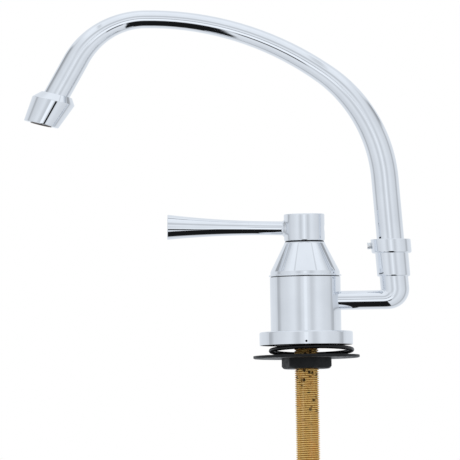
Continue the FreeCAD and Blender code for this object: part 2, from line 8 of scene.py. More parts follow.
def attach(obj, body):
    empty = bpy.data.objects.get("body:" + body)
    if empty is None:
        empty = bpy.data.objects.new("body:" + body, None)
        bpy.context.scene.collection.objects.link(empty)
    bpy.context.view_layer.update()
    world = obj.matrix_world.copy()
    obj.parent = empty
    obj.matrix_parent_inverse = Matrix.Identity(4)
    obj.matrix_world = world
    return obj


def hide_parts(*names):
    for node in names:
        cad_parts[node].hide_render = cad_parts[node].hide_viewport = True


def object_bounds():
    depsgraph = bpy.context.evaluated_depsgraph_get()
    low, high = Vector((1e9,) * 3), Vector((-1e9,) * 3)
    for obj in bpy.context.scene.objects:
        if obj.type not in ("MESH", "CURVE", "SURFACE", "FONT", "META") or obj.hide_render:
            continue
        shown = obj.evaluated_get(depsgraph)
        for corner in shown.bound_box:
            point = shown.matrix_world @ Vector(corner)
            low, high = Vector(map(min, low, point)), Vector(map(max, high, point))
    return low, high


# The looks of a point-of-use faucet, in the frame of its solids: metres, +Z up, -Y the front.
# Sizes are written in millimetres and turned into metres by mm. Headings are degrees in the X-Z plane,
# from +X towards +Z. Colours are linear red, green and blue.

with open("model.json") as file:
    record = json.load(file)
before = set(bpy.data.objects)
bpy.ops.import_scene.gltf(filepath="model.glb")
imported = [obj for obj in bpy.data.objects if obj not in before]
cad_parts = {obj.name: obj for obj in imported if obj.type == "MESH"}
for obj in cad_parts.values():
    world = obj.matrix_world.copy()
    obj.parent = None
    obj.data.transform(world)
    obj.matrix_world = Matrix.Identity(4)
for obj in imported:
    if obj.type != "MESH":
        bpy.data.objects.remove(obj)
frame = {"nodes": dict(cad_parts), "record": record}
cad_low, cad_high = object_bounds()
scene = bpy.context.scene
record = frame["record"]
slots = {row["node"]: row["material_slot"] for row in record["subparts"]}
bodies = {node: body for body, nodes in record["behaviour"]["bodies"].items() for node in nodes}
mm = 0.001

# Turns and directions
quarter_turn = 90.0
full_turn = 360.0
upward = 90.0
leftward = 180.0
downward = 270.0
front = Vector((0, -1, 0))

# Fineness of the meshes
turn_count = 128
corner_steps = 6
heading_step = 2.0
sharp_angle = 35.0

# Edges inside the pieces
hidden_edge = 0.2

# Bonnet
bonnet_floor = 33.6
lip_radius = 17.8
lip_height = 0.7
lip_edge = 0.25
band_radius = 17.0
band_height = 1.6
shoulder_edge = 0.5
cone_height = 13.9
neck_radius = 9.97
neck_height = 0.6
neck_edge = 0.3
bonnet_bore = 6.6
cavity_radius = 14.52
cavity_height = 5.6

# Lever and the hub that it stands on
hub_radius = 9.97
lever_height = 57.1
lever_lean = 1.5
lever_start = 8.4
lever_root_radius = 1.25
lever_root_angle = 15.0
lever_neck_radius = 3.4
lever_neck_end = 16.77
lever_reach = 67.1
lever_tip_radius = 6.15
lever_tip_edge = 0.3
lever_steps = 40

# Flat-oval tubes: how softly their round fronts go over into flat sides
oval_softness = 0.25

# Arm, elbow and leg
arm_height = 21.55
arm_start = 15.5
arm_width = 14.0
arm_level = 9.3
arm_wall = 1.3
elbow_inner_radius = 0.6
leg_offset = 44.3
leg_lean = 4.2
leg_length = 15.0

# Spout, with the radius and the turn of each bend
tube_width = 13.4
tube_level = 8.7
tube_wall = 1.0
tube_start = 28.5
bends_start = 59.7
spout_bends = ((70.1, 50.0), (149.4, 35.9), (39.1, 59.8))
spout_end = 19.35
nozzle_socket_depth = 3.0

# Nozzle
nozzle_lean = 29.0
mouth_lean = 14.5
nozzle_top_radius = 7.65
nozzle_top_edge = 0.3
nozzle_shoulder_radius = 10.6
nozzle_shoulder_edge = 0.5
nozzle_shoulder_drop = 3.5
nozzle_mouth_radius = 8.65
nozzle_mouth_edge = 0.4
nozzle_length = 16.5
nozzle_bore = 4.5
pocket_radius = 5.3
pocket_depth = 6.4

# Threaded shank, with its run-out in turns
thread_radius = 5.88
thread_pitch = 1.058
thread_depth = 0.8
thread_steps = 64
thread_margin = 1.0
thread_runout = 1
thread_root_share = 0.1
thread_crest_share = 0.3
shank_low = -63.5
shank_high = 11.0
shank_bore = 2.6
inlet_radius = 3.25
inlet_depth = 12.0

# Under-deck clamp
ring_cord = 2.1
ring_radius = 19.9
ring_shift = 2.5
ring_top_gap = 0.25
ring_rest_gap = 0.05
ring_steps = 32
washer_top = -5.1
washer_height = 1.4
washer_radius = 26.09
washer_bore = 6.15
washer_low_edge = 0.6
washer_edge = 0.35
nut_sides = 6
nut_across_flats = 22.0
nut_height = 5.2
nut_turn = 11.0
nut_bore = 5.92
nut_chamfer = 1.2
nut_edge = 0.4
nut_softness = 0.12
nut_step = 0.2
nut_turn_count = 240

# Noise in the finishes: its layers of detail, and the limits that most of it lies between
plain_detail = 2.0
cloudy_detail = 3.0
rich_detail = 4.0
noise_limits = (0.3, 0.7)

# Chrome, with painted shade, dark and dull, in the zone under the flange and in its weep hole
chrome_colours = ((0.83, 0.85, 0.88), (0.87, 0.89, 0.92))
chrome_roughness = (0.02, 0.06)
smudge_size = 14.0
smudge_limits = (0.35, 0.75)
wave_size = 18.0
wave_depth = 0.012
# Painted shade: the dark, dull chrome inside the flange's rim and low down, under the flange and in its weep
# hole
hole_shade_colour = (0.08, 0.07, 0.06)
hole_shade_roughness = 0.5
hole_shade_radius = 22.6
hole_shade_height = 2.4
hole_shade_fade = 0.1

# Brass, from painted shade at the thread's root to its crest
shaded_brass_colours = ((0.56, 0.35, 0.10), (0.93, 0.65, 0.23))
brass_metal = 0.6
brass_specular = 0.2
brass_roughness = (0.45, 0.62)
brass_dulling_size = 2.5
brass_grain_size = 0.6
brass_grain_depth = 0.03
streak_colour = (1.0, 0.80, 0.42)
streak_size = 1.6
streak_stretch = (1.0, 1.0, 0.04)
streak_limits = (0.52, 0.68)
streak_share = 0.45
reddish_colour = (0.86, 0.50, 0.16)
reddish_size = 9.0
reddish_limits = (0.45, 0.70)
reddish_share = 0.5

# Specks on the brass: their edges and the choice of those that show are shares of a cell and of its colour
speck_colour = (0.09, 0.055, 0.02)
speck_spacing = 2.4
speck_edge = (0.40, 0.30)
speck_choice = (0.50, 0.54)
speck_low = -45.0
speck_high = -25.0

# Black plastic
plastic_colours = ((0.007, 0.0075, 0.008), (0.016, 0.017, 0.018))
plastic_specular = 0.25
plastic_roughness = (0.38, 0.55)
plastic_dulling_size = 3.0
plastic_grain_size = 0.5
plastic_grain_depth = 0.02
rubbed_size = 6.0
rubbed_limits = (0.45, 0.75)

# Black rubber
rubber_colours = ((0.007, 0.007, 0.0075), (0.016, 0.016, 0.018))
rubber_specular = 0.3
rubber_roughness = (0.30, 0.45)
rubber_dulling_size = 2.0
rubber_grain_size = 0.8
rubber_grain_depth = 0.015
bloom_size = 4.0
bloom_limits = (0.45, 0.8)

# Stainless steel
steel_colours = ((0.78, 0.79, 0.80), (0.88, 0.89, 0.90))
steel_roughness = (0.34, 0.46)
turning_size = 0.5
turning_stretch = (1.0, 1.0, 8.0)
turning_depth = 0.01

# Ceramic
ceramic_colours = ((0.88, 0.86, 0.81), (0.94, 0.93, 0.90))
ceramic_roughness = (0.12, 0.22)
cloud_size = 3.0

# White nylon
nylon_colours = ((0.83, 0.82, 0.78), (0.90, 0.89, 0.87))
nylon_roughness = (0.35, 0.5)
nylon_grain_size = 0.7
nylon_grain_depth = 0.01

# Brown plastic
brown_colours = ((0.075, 0.052, 0.040), (0.14, 0.10, 0.08))
brown_roughness = (0.2, 0.35)
mottle_size = 1.5
mottle_depth = 0.01

# Camera
lens_length = 1600.0
sensor_width = 36.0
near_limit = 10.0
far_limit = 100000.0
view_width = 225.4
view_centre = (-36.4, 0.0, 57.0)
view_elevation = -2.1
view_roll = -1.0

# Floor
floor_drop = 0.2
floor_size = 6000.0
floor_colour = (0.85, 0.85, 0.85)
floor_glow = 0.4

# Studio: what the polished parts reflect, in degrees from the line to the lens (reach)
# and round that line from straight down (turn). A level is the grey that the chrome then shows.
full_level = 255.0
display_power = 2.2
chrome_share = 0.86
studio_lean = -1.2
studio_tint = (0.976, 0.998, 1.024)
soft_light = (0.80, 0.82, 0.84)
white = (1.0, 1.0, 1.0)
beside_stops = (
    # reach, level
    (2.0, 234.0),
    (10.0, 217.0),
    (20.0, 200.0),
    (40.0, 222.0),
    (70.0, 211.0),
    (84.0, 206.0),
    (98.0, 177.0),
    (103.0, 176.0),
    (108.0, 207.0),
    (122.0, 216.0),
    (180.0, 222.0),
)
above_stops = (
    # reach, level
    (4.0, 234.0),
    (12.0, 222.0),
    (20.0, 229.0),
    (36.0, 192.0),
    (54.0, 230.0),
    (98.0, 236.0),
    (120.0, 221.0),
    (180.0, 224.0),
)
above_turn = (120.0, 145.0)
studio_panels = (
    # reach, turn, soft edge, level
    ((104.0, 130.0), (118.0, 128.0), 5.0, 156.0),
    ((62.0, 86.0), (138.0, 148.0), 5.0, 234.0),
    ((55.0, 95.0), (148.0, 151.0), 2.5, 208.0),
    ((5.2, 11.0), (162.0, 181.0), 1.0, 156.0),
    ((2.0, 16.0), (-1.0, 60.0), 4.0, 246.0),
    ((20.5, 29.0), (20.0, 36.0), 2.0, 30.0),
    ((22.0, 97.0), (-1.0, 16.5), 2.0, 30.0),
    ((56.0, 97.0), (-1.0, 17.5), 2.0, 30.0),
)

# Places of a mix node's sockets when it mixes colours
mix_share = 0
mix_colours = (6, 7)
mix_result = 2


def new_nodes(owner):
    """Empties an owner's node tree and returns it."""
    owner.use_nodes = True
    owner.node_tree.nodes.clear()
    return owner.node_tree


def add_node(tree, kind, inputs=None, settings=None):
    """Adds a node, sets its options, and sets or links its inputs."""
    node = tree.nodes.new(kind)
    for name, value in (settings or {}).items():
        setattr(node, name, value)
    for name, value in (inputs or {}).items():
        if isinstance(value, bpy.types.NodeSocket):
            tree.links.new(value, node.inputs[name])
        else:
            node.inputs[name].default_value = value
    return node


def calculate(tree, operation, first, second=0.0):
    """One step of arithmetic on numbers or sockets."""
    node = add_node(tree, "ShaderNodeMath", {0: first, 1: second}, {"operation": operation})
    return node.outputs[0]


def remap(tree, value, start, end, low=0.0, high=1.0):
    """Low at start and high at end, with a smooth step between."""
    inputs = {"Value": value, "From Min": start, "From Max": end, "To Min": low, "To Max": high}
    node = add_node(tree, "ShaderNodeMapRange", inputs, {"interpolation_type": "SMOOTHSTEP"})
    return node.outputs["Result"]


def inside(tree, value, low, high, soft):
    """1 between two limits and 0 outside, with soft edges."""
    rise = remap(tree, value, low - soft / 2, low + soft / 2)
    fall = remap(tree, value, high + soft / 2, high - soft / 2)
    return calculate(tree, "MULTIPLY", rise, fall)


def opaque(colour):
    """The four numbers of a colour without any transparency."""
    return (*colour, 1.0)


def blend_colour(tree, share, first, second):
    """A mix of two colours, each of them a socket or three numbers."""
    inputs = {mix_share: share}
    for place, colour in zip(mix_colours, (first, second)):
        inputs[place] = colour if isinstance(colour, bpy.types.NodeSocket) else opaque(colour)
    return add_node(tree, "ShaderNodeMix", inputs, {"data_type": "RGBA"}).outputs[mix_result]


def lens_axes():
    """The line from the object to the lens, the way to its side and the way down across it."""
    rise = math.radians(view_elevation)
    to_lens = Vector((0, -math.cos(rise), math.sin(rise)))
    side = Vector((1, 0, 0))
    return to_lens, side, side.cross(to_lens)


def make_camera():
    """A long lens at the photograph's viewing angle, tipped a little to one side."""
    to_lens, *_ = lens_axes()
    distance = view_width * lens_length / sensor_width
    data = bpy.data.cameras.new("camera")
    data.lens = lens_length
    data.sensor_width = sensor_width
    data.clip_start = near_limit * mm
    data.clip_end = far_limit * mm
    camera = bpy.data.objects.new("camera", data)
    camera.location = (Vector(view_centre) + to_lens * distance) * mm
    camera.rotation_mode = "QUATERNION"
    roll = Quaternion((0, 0, 1), math.radians(view_roll))
    camera.rotation_quaternion = (-to_lens).to_track_quat("-Z", "Y") @ roll
    scene.collection.objects.link(camera)
    scene.camera = camera


def glow(level):
    """The light that shows on the chrome as a grey of the given level."""
    return tuple((tint * level / full_level) ** display_power / chrome_share for tint in studio_tint)


def blend_stops(tree, angle, stops):
    """A colour that goes from stop to stop along an angle."""
    (start, level), *others = stops
    colour = glow(level)
    for stop, level in others:
        colour = blend_colour(tree, remap(tree, angle, start, stop), colour, glow(level))
        start = stop
    return colour


def studio_colour(tree):
    """The colour of the studio in each direction: soft bands beside and above, and panels over them."""
    direction = add_node(tree, "ShaderNodeTexCoord").outputs["Generated"]

    def along(axis):
        inputs = {0: direction, 1: axis}
        node = add_node(tree, "ShaderNodeVectorMath", inputs, {"operation": "DOT_PRODUCT"})
        return node.outputs["Value"]

    to_lens, side, down = lens_axes()
    lean = Quaternion(to_lens, math.radians(studio_lean))
    side.rotate(lean)
    down.rotate(lean)
    reach = calculate(tree, "DEGREES", calculate(tree, "ARCCOSINE", along(to_lens)))
    across = calculate(tree, "ABSOLUTE", along(side))
    turn = calculate(tree, "DEGREES", calculate(tree, "ARCTAN2", across, along(down)))
    beside = blend_stops(tree, reach, beside_stops)
    above = blend_stops(tree, reach, above_stops)
    colour = blend_colour(tree, remap(tree, turn, *above_turn), beside, above)
    for reach_limits, turn_limits, soft, level in studio_panels:
        in_reach = inside(tree, reach, *reach_limits, soft)
        in_turn = inside(tree, turn, *turn_limits, soft)
        panel = calculate(tree, "MULTIPLY", in_reach, in_turn)
        colour = blend_colour(tree, panel, colour, glow(level))
    return colour


def make_world():
    """White behind the object, the studio in its reflections, and soft light from all round."""
    world = bpy.data.worlds.new("studio")
    scene.world = world
    tree = new_nodes(world)
    path = add_node(tree, "ShaderNodeLightPath").outputs
    seen = calculate(tree, "MAXIMUM", path["Is Camera Ray"], path["Is Transmission Ray"])
    colour = blend_colour(tree, path["Is Glossy Ray"], soft_light, studio_colour(tree))
    colour = blend_colour(tree, seen, colour, white)
    background = add_node(tree, "ShaderNodeBackground", {"Color": colour})
    add_node(tree, "ShaderNodeOutputWorld", {"Surface": background.outputs[0]})


def floor_material():
    """Pale paint that goes over into the white behind the object, clear when seen from below."""
    material = bpy.data.materials.new("floor")
    tree = new_nodes(material)
    path = add_node(tree, "ShaderNodeLightPath").outputs
    below = add_node(tree, "ShaderNodeNewGeometry").outputs["Backfacing"]
    strength = calculate(tree, "MULTIPLY", path["Is Camera Ray"], floor_glow)
    paint = add_node(tree, "ShaderNodeBsdfDiffuse", {"Color": opaque(floor_colour)})
    gleam = add_node(tree, "ShaderNodeEmission", {"Strength": strength})
    pale = add_node(tree, "ShaderNodeAddShader", {0: paint.outputs[0], 1: gleam.outputs[0]})
    clear = add_node(tree, "ShaderNodeBsdfTransparent")
    inputs = {0: below, 1: pale.outputs[0], 2: clear.outputs[0]}
    one_sided = add_node(tree, "ShaderNodeMixShader", inputs)
    add_node(tree, "ShaderNodeOutputMaterial", {"Surface": one_sided.outputs[0]})
    return material


def make_floor():
    """A floor just under the object, which reflections leave out."""
    half = floor_size / 2 * mm
    height = cad_low.z - floor_drop * mm
    corners = [(x, y, height) for x, y in ((-half, -half), (half, -half), (half, half), (-half, half))]
    mesh = bpy.data.meshes.new("floor")
    mesh.from_pydata(corners, [], [(0, 1, 2, 3)])
    mesh.materials.append(floor_material())
    floor = bpy.data.objects.new("floor", mesh)
    floor.visible_glossy = False
    scene.collection.objects.link(floor)


def place_on(tree):
    """The place of a point on its piece, in metres from the frame's origin."""
    return add_node(tree, "ShaderNodeTexCoord").outputs["Object"]


def from_axis(tree):
    """The distance of a point from the body's axis, and its height, in metres."""
    parts = add_node(tree, "ShaderNodeSeparateXYZ", {0: place_on(tree)}).outputs
    squares = [calculate(tree, "MULTIPLY", parts[axis], parts[axis]) for axis in ("X", "Y")]
    return calculate(tree, "SQRT", calculate(tree, "ADD", *squares)), parts["Z"]


def noise(tree, size, detail=plain_detail, stretch=(1.0, 1.0, 1.0)):
    """Smooth noise over the surface with spots of about a size in millimetres."""
    scaled = add_node(tree, "ShaderNodeMapping", {"Vector": place_on(tree), "Scale": stretch}).outputs[0]
    inputs = {"Vector": scaled, "Scale": 1 / (size * mm), "Detail": detail}
    return add_node(tree, "ShaderNodeTexNoise", inputs).outputs[0]


def bump(tree, height, depth):
    """A bumpy normal from a height between 0 and 1, with a depth in millimetres."""
    return add_node(tree, "ShaderNodeBump", {"Height": height, "Distance": depth * mm}).outputs[0]


def surface(name, finish):
    """A material whose main shader gets its sockets from a function of the node tree."""
    material = bpy.data.materials.new(name)
    tree = new_nodes(material)
    shader = add_node(tree, "ShaderNodeBsdfPrincipled", finish(tree))
    add_node(tree, "ShaderNodeOutputMaterial", {"Surface": shader.outputs[0]})
    return material


def chrome(tree):
    """Polished plate with faint smudges and the waviness of a buffed tube, with painted shade, dark and dull,
    under the flange and in its weep hole.
    """
    smudge = noise(tree, smudge_size, rich_detail)
    plate = blend_colour(tree, remap(tree, smudge, *noise_limits), *chrome_colours)
    gloss = remap(tree, smudge, *smudge_limits, *chrome_roughness)
    # Painted shade: inside the flange's rim and low down, under the flange and in its weep hole, the chrome
    # is painted dark and dull
    radius, height = from_axis(tree)
    within = remap(tree, radius, hole_shade_radius * mm, (hole_shade_radius - hole_shade_fade) * mm)
    below = remap(tree, height, hole_shade_height * mm, (hole_shade_height - hole_shade_fade) * mm)
    painted_shade = calculate(tree, "MULTIPLY", within, below)
    dullness = calculate(tree, "MULTIPLY", painted_shade, hole_shade_roughness)
    return {
        "Base Color": blend_colour(tree, painted_shade, plate, hole_shade_colour),
        "Metallic": 1.0,
        "Roughness": calculate(tree, "ADD", gloss, dullness),
        "Normal": bump(tree, noise(tree, wave_size), wave_depth),
    }


def specks(tree, height):
    """Round spots of tarnish in some of the cells, fading away down the shank."""
    inputs = {"Vector": place_on(tree), "Scale": 1 / (speck_spacing * mm)}
    cells = add_node(tree, "ShaderNodeTexVoronoi", inputs).outputs
    spots = remap(tree, cells["Distance"], *speck_edge)
    chosen = remap(tree, cells["Color"], *speck_choice)
    tarnished = remap(tree, height, speck_low * mm, speck_high * mm)
    return calculate(tree, "MULTIPLY", calculate(tree, "MULTIPLY", spots, chosen), tarnished)


def brass(tree):
    """Machined brass with painted shade down in the thread, dull patches, streaks, reddish patches and
    specks.
    """
    radius, height = from_axis(tree)
    # Painted shade: the brass is painted darker towards the thread's root
    crest = remap(tree, radius, thread_root * mm, thread_radius * mm)
    tone = blend_colour(tree, crest, *shaded_brass_colours)
    streaks = noise(tree, streak_size, plain_detail, streak_stretch)
    tone = blend_colour(tree, remap(tree, streaks, *streak_limits, 0.0, streak_share), tone, streak_colour)
    reddish = noise(tree, reddish_size)
    tone = blend_colour(tree, remap(tree, reddish, *reddish_limits, 0.0, reddish_share), tone, reddish_colour)
    return {
        "Base Color": blend_colour(tree, specks(tree, height), tone, speck_colour),
        "Metallic": brass_metal,
        "Specular IOR Level": brass_specular,
        "Roughness": remap(tree, noise(tree, brass_dulling_size), *noise_limits, *brass_roughness),
        "Normal": bump(tree, noise(tree, brass_grain_size), brass_grain_depth),
    }


def black_plastic(tree):
    """Moulded plastic with a fine grain and paler rubbed patches."""
    rubbed = remap(tree, noise(tree, rubbed_size, rich_detail), *rubbed_limits)
    return {
        "Base Color": blend_colour(tree, rubbed, *plastic_colours),
        "Specular IOR Level": plastic_specular,
        "Roughness": remap(tree, noise(tree, plastic_dulling_size), *noise_limits, *plastic_roughness),
        "Normal": bump(tree, noise(tree, plastic_grain_size), plastic_grain_depth),
    }


def black_rubber(tree):
    """Smooth moulded rubber with a little bloom."""
    bloom = remap(tree, noise(tree, bloom_size, rich_detail), *bloom_limits)
    return {
        "Base Color": blend_colour(tree, bloom, *rubber_colours),
        "Specular IOR Level": rubber_specular,
        "Roughness": remap(tree, noise(tree, rubber_dulling_size), *noise_limits, *rubber_roughness),
        "Normal": bump(tree, noise(tree, rubber_grain_size), rubber_grain_depth),
    }


def stainless(tree):
    """Plain steel with turning marks."""
    marks = noise(tree, turning_size, plain_detail, turning_stretch)
    return {
        "Base Color": blend_colour(tree, marks, *steel_colours),
        "Metallic": 1.0,
        "Roughness": remap(tree, marks, *noise_limits, *steel_roughness),
        "Normal": bump(tree, marks, turning_depth),
    }


def ceramic(tree):
    """Lapped white ceramic with faint clouds."""
    clouds = noise(tree, cloud_size, cloudy_detail)
    return {
        "Base Color": blend_colour(tree, clouds, *ceramic_colours),
        "Roughness": remap(tree, clouds, *noise_limits, *ceramic_roughness),
    }


def white_nylon(tree):
    """Moulded white plastic with a fine grain."""
    grain = noise(tree, nylon_grain_size, cloudy_detail)
    return {
        "Base Color": blend_colour(tree, grain, *nylon_colours),
        "Roughness": remap(tree, grain, *noise_limits, *nylon_roughness),
        "Normal": bump(tree, grain, nylon_grain_depth),
    }


def brown_plastic(tree):
    """Moulded dark brown plastic, wet-looking and a little mottled."""
    mottle = noise(tree, mottle_size, cloudy_detail)
    return {
        "Base Color": blend_colour(tree, mottle, *brown_colours),
        "Roughness": remap(tree, mottle, *noise_limits, *brown_roughness),
        "Normal": bump(tree, mottle, mottle_depth),
    }


def forward(heading):
    """The unit vector along a heading."""
    angle = math.radians(heading)
    return Vector((math.cos(angle), 0, math.sin(angle)))


def left(heading):
    """The unit vector to the left of a heading, towards the inside of the spout's bends."""
    return forward(heading + quarter_turn)


def around(share, radius, height):
    """The point at a share of a turn about Z, with its radius and height."""
    angle = 2 * math.pi * share
    return Vector((radius * math.cos(angle), radius * math.sin(angle), height))


def set_on(place, heading, facing):
    """The matrix that stands a shape on a place, its Z along a heading and its ends square to a facing."""
    axes = (left(facing), front, forward(heading))
    return Matrix.Translation(place) @ Matrix(axes).transposed().to_4x4()


def corner(before, here, after, radius):
    """The points and normals of a rounded corner of an outline that keeps its material on the left."""
    back = (before - here).normalized()
    ahead = (after - here).normalized()
    first = Vector((-back.y, back.x))
    last = Vector((ahead.y, -ahead.x))
    middle = here + (back + ahead).normalized() * radius / math.sin(back.angle(ahead) / 2)
    outside = math.copysign(radius, ahead.x * back.y - ahead.y * back.x)
    normals = [first.slerp(last, step / corner_steps) for step in range(corner_steps + 1)]
    return [(middle + normal * outside, normal) for normal in normals]


def rounded(corners):
    """A closed outline, as points and normals, from (across, along, edge radius) corners."""
    places = [Vector((across, along)) for across, along, _ in corners]
    outline = []
    for number, (_, _, radius) in enumerate(corners):
        after = places[(number + 1) % len(places)]
        outline += corner(places[number - 1], places[number], after, radius)
    return outline


def new_mesh(name, points, faces, normals=None):
    """A smooth mesh in metres from points in millimetres, with given normals or edges sharp by angle."""
    mesh = bpy.data.meshes.new(name)
    mesh.from_pydata([point * mm for point in points], [], faces)
    mesh.shade_smooth()
    if normals:
        mesh.normals_split_custom_set_from_vertices(normals)
    else:
        mesh.set_sharp_from_angle(angle=math.radians(sharp_angle))
    return mesh


def skin(ring_count, point_count, closed):
    """The faces between rings of points, and from the last ring to the first where they close."""
    faces = []
    for ring in range(ring_count if closed else ring_count - 1):
        low = ring * point_count
        high = (ring + 1) % ring_count * point_count
        for point in range(point_count):
            after = (point + 1) % point_count
            faces.append((low + point, low + after, high + after, high + point))
    return faces


def end_faces(ring_count, point_count):
    """The flat faces over the first and the last ring."""
    top = (ring_count - 1) * point_count
    return [tuple(reversed(range(point_count))), tuple(range(top, top + point_count))]


def turned(name, outline, place, closed=True):
    """An outline turned about Z and set in its place, with exact normals."""
    lean = place.to_3x3().inverted().transposed()
    points = []
    normals = []
    for (across, along), (outward, upright) in outline:
        for step in range(turn_count):
            share = step / turn_count
            points.append(place @ around(share, across, along))
            normals.append((lean @ around(share, outward, upright)).normalized())
    faces = skin(len(outline), turn_count, closed)
    if not closed:
        faces += end_faces(len(outline), turn_count)
    return new_mesh(name, points, faces, normals)


def thickness(heading, width, level):
    """A tube's thickness in the plane of its bends: its width where upright, flattened where level."""
    run = forward(heading)
    return math.hypot(width * run.z, level * run.x)


def tube(name, stations, width, level, wall):
    """A hollow flat-oval tube through (place, heading) stations, round in front and behind."""
    points = []
    for inset, row in ((0, stations), (wall, reversed(stations))):
        for place, heading in row:
            half = thickness(heading, width, level) / 2 - inset
            spread = width / 2 - inset - half
            for step in range(turn_count):
                angle = 2 * math.pi * step / turn_count
                depth = half * math.sin(angle) + spread * math.tanh(math.sin(angle) / oval_softness)
                points.append(place + left(heading) * half * math.cos(angle) + front * depth)
    return new_mesh(name, points, skin(2 * len(stations), turn_count, closed=True))


def bonnet_mesh():
    """A cone on a band with a proud lip, hollow over the valve."""
    lip_top = bonnet_floor + lip_height
    shoulder = lip_top + band_height
    cone_top = shoulder + cone_height
    top = cone_top + neck_height
    ceiling = bonnet_floor + cavity_height
    corners = (
        (cavity_radius, bonnet_floor, hidden_edge),
        (lip_radius, bonnet_floor, lip_edge),
        (lip_radius, lip_top, lip_edge),
        (band_radius, lip_top, lip_edge),
        (band_radius, shoulder, shoulder_edge),
        (neck_radius, cone_top, neck_edge),
        (neck_radius, top, neck_edge),
        (bonnet_bore, top, hidden_edge),
        (bonnet_bore, ceiling, hidden_edge),
        (cavity_radius, ceiling, hidden_edge),
    )
    return turned("bonnet", rounded(corners), Matrix.Identity(4))


def lever_root():
    """The lever's outline from inside the hub, through the fillet at the hub, to its neck."""
    start = math.radians(lever_root_angle)
    swing = math.pi / 2 - start
    middle = Vector((lever_neck_radius, hub_radius)) + Vector((1, 1)) * lever_root_radius
    outline = []
    for step in range(corner_steps + 1):
        angle = start + swing * step / corner_steps
        normal = Vector((math.sin(angle), math.cos(angle)))
        outline.append((middle - normal * lever_root_radius, normal))
    widest, _ = outline[0]
    return [(Vector((widest.x, lever_start)), Vector((1, 0)))] + outline


def lever_mesh():
    """A neck that flares along an arc to a flat end with a rounded edge."""
    arc_length = lever_reach - lever_neck_end
    flare = lever_tip_radius - lever_neck_radius
    arc_radius = (arc_length**2 + flare**2) / (2 * flare)
    swing = math.asin(arc_length / arc_radius)
    outline = lever_root()
    for step in range(lever_steps):
        angle = swing * step / lever_steps
        across = lever_neck_radius + arc_radius * (1 - math.cos(angle))
        along = lever_neck_end + arc_radius * math.sin(angle)
        outline.append((Vector((across, along)), Vector((math.cos(angle), -math.sin(angle)))))
    tip = Vector((lever_tip_radius, lever_reach))
    before = tip - Vector((math.sin(swing), math.cos(swing)))
    outline += corner(before, tip, Vector((0, lever_reach)), lever_tip_edge)
    heading = leftward - lever_lean
    place = set_on(Vector((0, 0, lever_height)), heading, heading)
    return turned("lever", outline, place, closed=False)


leg_foot = Vector((leg_offset, 0, arm_height))
leg_heading = upward + leg_lean


def along_leg(distance):
    """A point on the leg's axis, at a distance from the arm's level."""
    return leg_foot + forward(leg_heading) * distance


def headings_between(start, end):
    """Headings in even steps from one to another."""
    count = math.ceil(abs(end - start) / heading_step)
    return [start + (end - start) * step / count for step in range(count + 1)]


def arm_mesh():
    """The arm, an elbow whose sections fan out about its inner corner, and the leg."""

    def reach(heading):
        return thickness(heading, arm_width, arm_level) / 2 + elbow_inner_radius

    lean = math.radians(leg_lean)
    rise = (reach(0) + reach(leg_heading) * math.sin(lean)) / math.cos(lean)
    inner_corner = along_leg(rise) + left(leg_heading) * reach(leg_heading)
    stations = [(Vector((arm_start, 0, arm_height)), 0)]
    for heading in headings_between(0, leg_heading):
        stations.append((inner_corner - left(heading) * reach(heading), heading))
    stations.append((along_leg(leg_length), leg_heading))
    return tube("elbow_arm", stations, arm_width, arm_level, arm_wall)


def spout_stations():
    """The spout's sections from its foot to the start of its straight end."""
    place = along_leg(bends_start)
    heading = leg_heading
    stations = [(along_leg(tube_start), heading), (place, heading)]
    for radius, turn in spout_bends:
        centre = place + left(heading) * radius
        headings = headings_between(heading, heading + turn)
        stations += [(centre - left(angle) * radius, angle) for angle in headings[1:]]
        place, heading = stations[-1]
    return stations


def spout_mesh():
    """The gooseneck, with its straight end reaching into the nozzle."""
    stations = spout_stations()
    place, heading = stations[-1]
    stations.append((place + forward(heading) * (spout_end + nozzle_socket_depth), heading))
    return tube("spout_tube", stations, tube_width, tube_level, tube_wall)


def nozzle_mesh():
    """A double cone slanted along its own axis, with a pocket in its mouth."""
    place, heading = spout_stations()[-1]
    top = place + forward(heading) * spout_end
    pocket_floor = nozzle_length - pocket_depth
    corners = (
        (nozzle_top_radius, 0, nozzle_top_edge),
        (nozzle_shoulder_radius, nozzle_shoulder_drop, nozzle_shoulder_edge),
        (nozzle_mouth_radius, nozzle_length, nozzle_mouth_edge),
        (pocket_radius, nozzle_length, hidden_edge),
        (pocket_radius, pocket_floor, hidden_edge),
        (nozzle_bore, pocket_floor, hidden_edge),
        (nozzle_bore, 0, hidden_edge),
    )
    slant = set_on(top, downward - nozzle_lean, downward - mouth_lean)
    return turned("nozzle", rounded(corners), slant)


thread_root = thread_radius - thread_depth
thread_start = shank_low + thread_margin
thread_turns = math.floor((shank_high - thread_margin - thread_start) / thread_pitch) - 1


def thread_profile():
    """The height and radius of the corners of one turn of the thread."""
    flank = (1 - thread_root_share - thread_crest_share) / 2
    shares = (0, thread_root_share, thread_root_share + flank, 1 - flank)
    radii = (thread_root, thread_root, thread_radius, thread_radius)
    return [(share * thread_pitch, radius) for share, radius in zip(shares, radii)]


def thread_points(profile, row_count):
    """Rows of points that wind up the shank, one row to a corner of the profile, fading at both ends."""
    points = []
    for row in range(row_count):
        turn, part = divmod(row, len(profile))
        rise, radius = profile[part]
        for step in range(thread_steps):
            share = step / thread_steps
            wound = turn + share
            depth = min(1, max(0, wound - thread_runout), max(0, thread_turns - thread_runout - wound))
            reach = thread_root + (radius - thread_root) * depth
            points.append(around(share, reach, thread_start + wound * thread_pitch + rise))
    return points


def thread_point(row, step):
    """The number of a point of the thread."""
    return row * thread_steps + step


